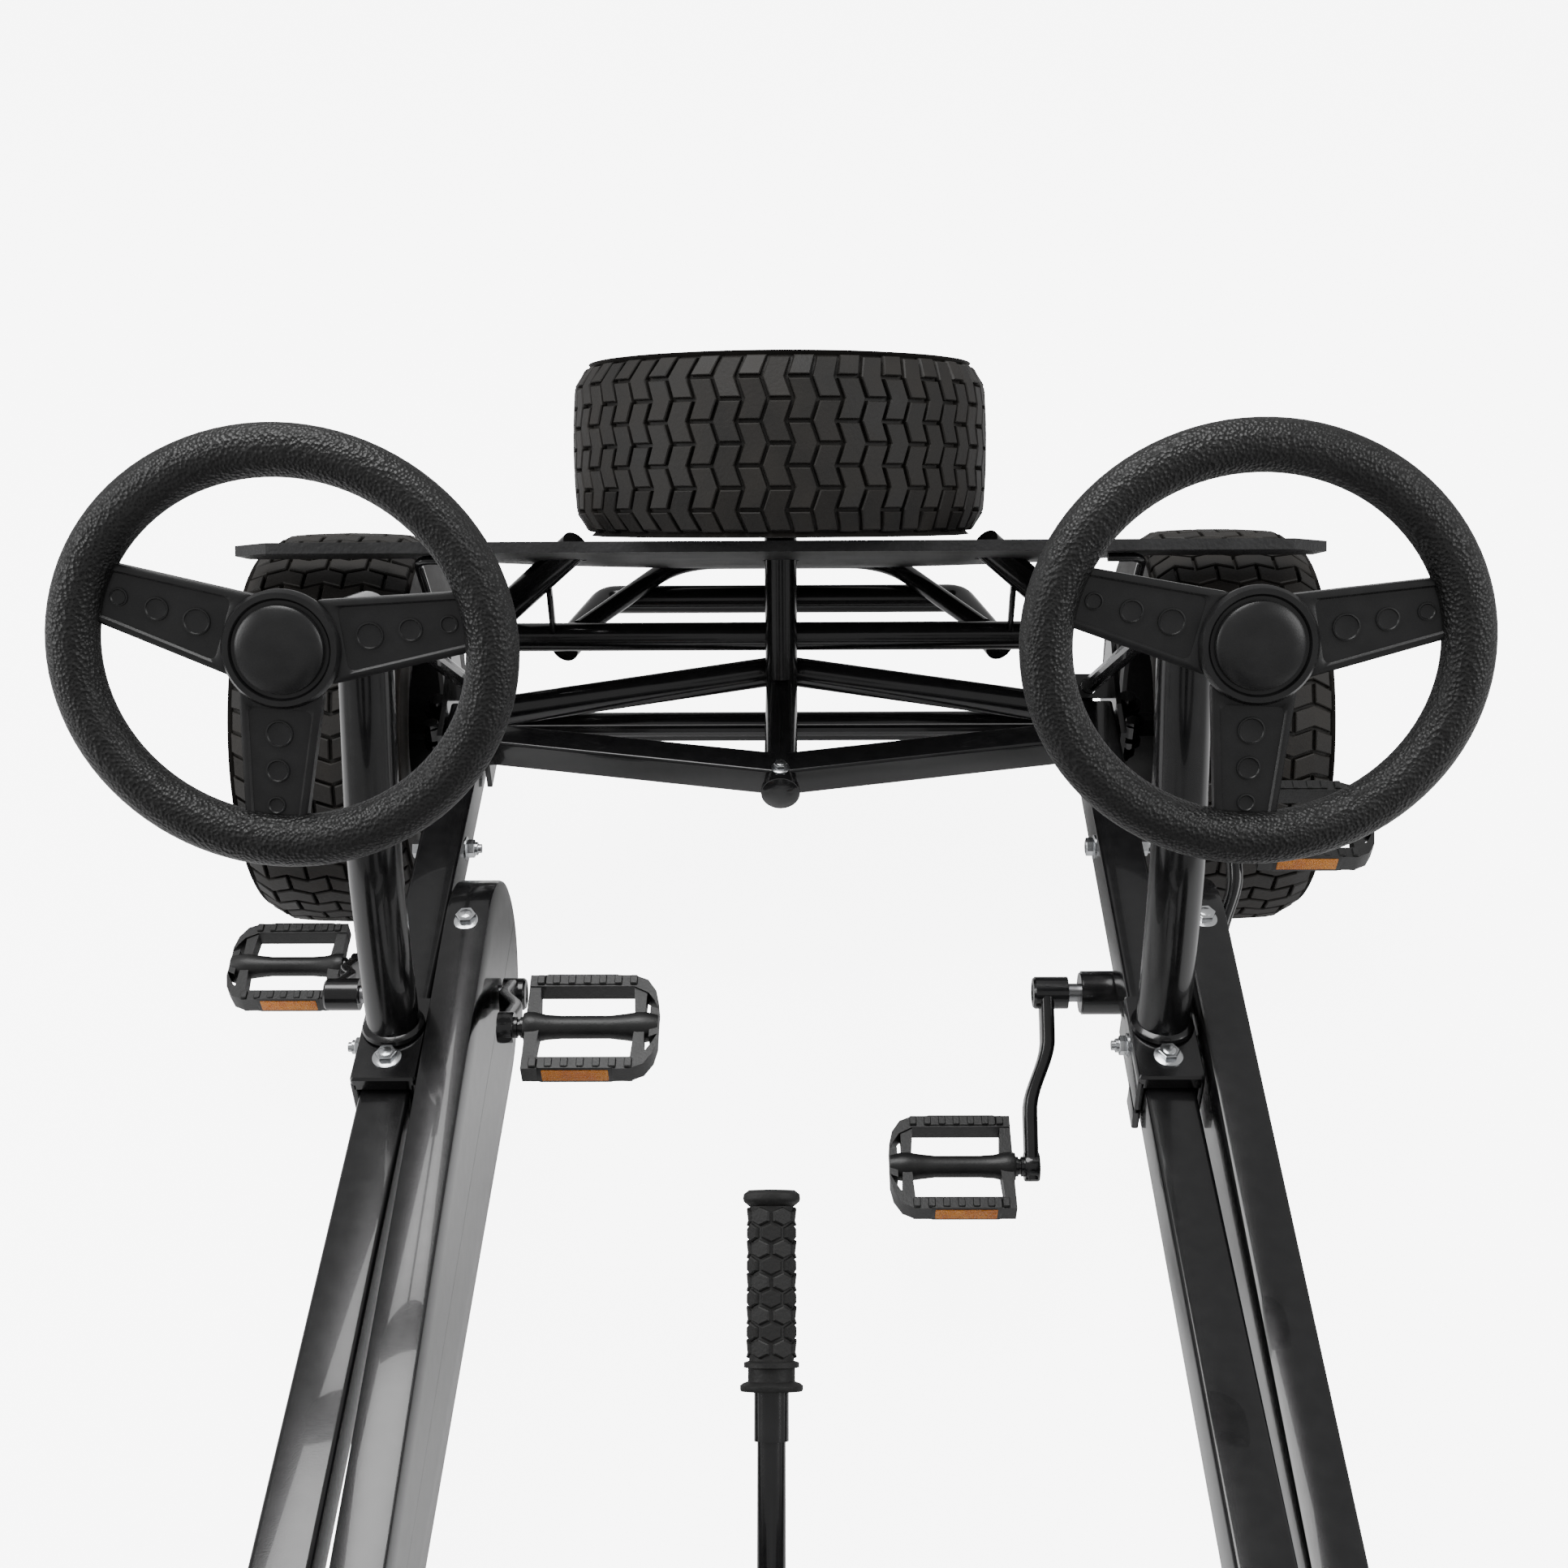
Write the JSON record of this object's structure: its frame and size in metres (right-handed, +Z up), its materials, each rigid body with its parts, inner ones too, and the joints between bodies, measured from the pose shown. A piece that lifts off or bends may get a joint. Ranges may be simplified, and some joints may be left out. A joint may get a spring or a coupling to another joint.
{
  "type": "pedal go kart",
  "caption": "Side-by-side pedal go kart: twin square-tube beams, turf tyres, bent steering posts with padded wheels, enclosed chain drives, bucket seats and a bumper tyre on a sloping board.",
  "frame": {"origin": "middle of the overall length and width, on the ground", "axes": "+Y forward, +Z up, +X to the drivers' right"},
  "size_m": [1.409, 1.8454, 0.846],
  "materials": {
    "frame_paint": "gloss black powder coat",
    "bare_steel": "zinc plated",
    "rim_paint": "satin black",
    "tyre": "moulded rubber",
    "grip_rubber": "moulded rubber",
    "wheel_plastic": "grained black",
    "pedal_plastic": "moulded black",
    "seat_plastic": "satin moulded black",
    "board": "black with a rough underside"
  },
  "bodies": {
    "frame": {"centre_brace": "frame_paint", "front_axle_beam": "frame_paint", "cross_tube": "frame_paint", "centre_post": "frame_paint", "bumper_hoop": "frame_paint", "board_support_hoop": "frame_paint", "rear_cross_member": "frame_paint", "mid_cross_tube": "frame_paint", "front_board": "board", "main_beam_left": "frame_paint", "chain_case_upper_left": "frame_paint", "chain_case_lower_left": "frame_paint", "chain_left": "bare_steel", "diagonal_strut_left": "frame_paint", "front_cradle_left": "frame_paint", "steering_post_left": "frame_paint", "main_beam_right": "frame_paint", "chain_case_upper_right": "frame_paint", "chain_case_lower_right": "frame_paint", "chain_right": "bare_steel", "diagonal_strut_right": "frame_paint", "front_cradle_right": "frame_paint", "steering_post_right": "frame_paint"},
    "spare_wheel": {"spare_tyre": "tyre", "spare_rim": "rim_paint"},
    "knuckle_left": {"knuckle_left": "frame_paint"},
    "front_wheel_left": {"front_left_tyre": "tyre", "front_left_rim": "rim_paint"},
    "steering_wheel_left": {"steering_wheel_left": "wheel_plastic", "upper_shaft_left": "bare_steel"},
    "lower_shaft_left": {"lower_shaft_left": "frame_paint"},
    "rear_drive_left": {"rear_half_axle_left": "bare_steel", "rear_left_tyre": "tyre", "rear_left_rim": "rim_paint"},
    "crank_left": {"crank_axle_left": "bare_steel", "crank_arm_left_left": "frame_paint", "crank_arm_left_right": "frame_paint"},
    "seat_left": {"seat_left": "seat_plastic", "seat_mount_left": "frame_paint"},
    "pedal_left_left": {"pedal_left_left": "pedal_plastic"},
    "pedal_left_right": {"pedal_left_right": "pedal_plastic"},
    "knuckle_right": {"knuckle_right": "frame_paint"},
    "front_wheel_right": {"front_right_tyre": "tyre", "front_right_rim": "rim_paint"},
    "steering_wheel_right": {"steering_wheel_right": "wheel_plastic", "upper_shaft_right": "bare_steel"},
    "lower_shaft_right": {"lower_shaft_right": "frame_paint"},
    "rear_drive_right": {"rear_half_axle_right": "bare_steel", "rear_right_tyre": "tyre", "rear_right_rim": "rim_paint"},
    "crank_right": {"crank_axle_right": "bare_steel", "crank_arm_right_left": "frame_paint", "crank_arm_right_right": "frame_paint"},
    "seat_right": {"seat_right": "seat_plastic", "seat_mount_right": "frame_paint"},
    "pedal_right_left": {"pedal_right_left": "pedal_plastic"},
    "pedal_right_right": {"pedal_right_right": "pedal_plastic"},
    "tie_rod": {"tie_rod": "frame_paint"},
    "brake": {"brake_lever": "frame_paint", "brake_grip": "grip_rubber"}
  },
  "joints": [
    {"name": "spare_wheel_spin", "type": "hinge", "parent": "frame", "child": "spare_wheel", "pos_m": [0, 0.7173, 0.476], "axis": [0, 0.515, 0.8572], "continuous": true},
    {"name": "steer_knuckle_left", "type": "hinge", "parent": "frame", "child": "knuckle_left", "pos_m": [-0.352, 0.6373, 0.2], "axis": [0, 0, 1], "range_deg": [-9, 9]},
    {"name": "front_wheel_left_spin", "type": "hinge", "parent": "knuckle_left", "child": "front_wheel_left", "pos_m": [-0.438, 0.6373, 0.2], "axis": [1, 0, 0], "continuous": true},
    {"name": "steering_wheel_left_turn", "type": "hinge", "parent": "frame", "child": "steering_wheel_left", "pos_m": [-0.3075, 0.0593, 0.703], "axis": [0, -0.876, 0.4824], "range_deg": [-9, 9]},
    {"name": "lower_shaft_left_turn", "type": "hinge", "parent": "frame", "child": "lower_shaft_left", "pos_m": [-0.3075, 0.2863, 0.578], "axis": [0, -0.7254, 0.6884], "range_deg": [-9, 9]},
    {"name": "rear_wheel_left_spin", "type": "hinge", "parent": "frame", "child": "rear_drive_left", "pos_m": [-0.622, -0.5607, 0.2], "axis": [1, 0, 0], "continuous": true},
    {"name": "crank_left_spin", "type": "hinge", "parent": "frame", "child": "crank_left", "pos_m": [-0.3075, 0.2433, 0.208], "axis": [1, 0, 0], "continuous": true},
    {"name": "pedal_left_left_spin", "type": "hinge", "parent": "crank_left", "child": "pedal_left_left", "pos_m": [-0.468, 0.36453, 0.12311], "axis": [1, 0, 0], "continuous": true},
    {"name": "pedal_left_right_spin", "type": "hinge", "parent": "crank_left", "child": "pedal_left_right", "pos_m": [-0.147, 0.12207, 0.29289], "axis": [1, 0, 0], "continuous": true},
    {"name": "seat_left_slide", "type": "slide", "parent": "frame", "child": "seat_left", "axis": [0, 1, 0], "range_m": [-0.06, 0.06]},
    {"name": "steer_knuckle_right", "type": "hinge", "parent": "frame", "child": "knuckle_right", "pos_m": [0.352, 0.6373, 0.2], "axis": [0, 0, 1], "range_deg": [-9, 9]},
    {"name": "front_wheel_right_spin", "type": "hinge", "parent": "knuckle_right", "child": "front_wheel_right", "pos_m": [0.438, 0.6373, 0.2], "axis": [1, 0, 0], "continuous": true},
    {"name": "steering_wheel_right_turn", "type": "hinge", "parent": "frame", "child": "steering_wheel_right", "pos_m": [0.3075, 0.0593, 0.703], "axis": [0, -0.876, 0.4824], "range_deg": [-9, 9]},
    {"name": "lower_shaft_right_turn", "type": "hinge", "parent": "frame", "child": "lower_shaft_right", "pos_m": [0.3075, 0.2863, 0.578], "axis": [0, -0.7254, 0.6884], "range_deg": [-9, 9]},
    {"name": "rear_wheel_right_spin", "type": "hinge", "parent": "frame", "child": "rear_drive_right", "pos_m": [0.622, -0.5607, 0.2], "axis": [1, 0, 0], "continuous": true},
    {"name": "crank_right_spin", "type": "hinge", "parent": "frame", "child": "crank_right", "pos_m": [0.3075, 0.2433, 0.208], "axis": [1, 0, 0], "continuous": true},
    {"name": "pedal_right_left_spin", "type": "hinge", "parent": "crank_right", "child": "pedal_right_left", "pos_m": [0.147, 0.12667, 0.11688], "axis": [1, 0, 0], "continuous": true},
    {"name": "pedal_right_right_spin", "type": "hinge", "parent": "crank_right", "child": "pedal_right_right", "pos_m": [0.468, 0.35993, 0.29912], "axis": [1, 0, 0], "continuous": true},
    {"name": "seat_right_slide", "type": "slide", "parent": "frame", "child": "seat_right", "axis": [0, 1, 0], "range_m": [-0.06, 0.06]},
    {"name": "tie_rod_pivot", "type": "hinge", "parent": "knuckle_left", "child": "tie_rod", "pos_m": [-0.352, 0.5953, 0.227], "axis": [0, 0, 1], "range_deg": [-9, 9]},
    {"name": "brake_lever_pull", "type": "hinge", "parent": "frame", "child": "brake", "pos_m": [0, -0.4147, 0.2], "axis": [1, 0, 0], "range_deg": [0, 30]}
  ],
  "couplings": [
    {"joint": "crank_left_spin", "follows": "rear_wheel_left_spin", "ratio": 0.45},
    {"joint": "crank_right_spin", "follows": "rear_wheel_right_spin", "ratio": 0.45},
    {"joint": "steering_wheel_left_turn", "follows": "steer_knuckle_left", "ratio": 1},
    {"joint": "lower_shaft_left_turn", "follows": "steer_knuckle_left", "ratio": 1},
    {"joint": "steering_wheel_right_turn", "follows": "steer_knuckle_left", "ratio": 1},
    {"joint": "lower_shaft_right_turn", "follows": "steer_knuckle_left", "ratio": 1},
    {"joint": "steer_knuckle_right", "follows": "steer_knuckle_left", "ratio": 1},
    {"joint": "tie_rod_pivot", "follows": "steer_knuckle_left", "ratio": -1}
  ]
}
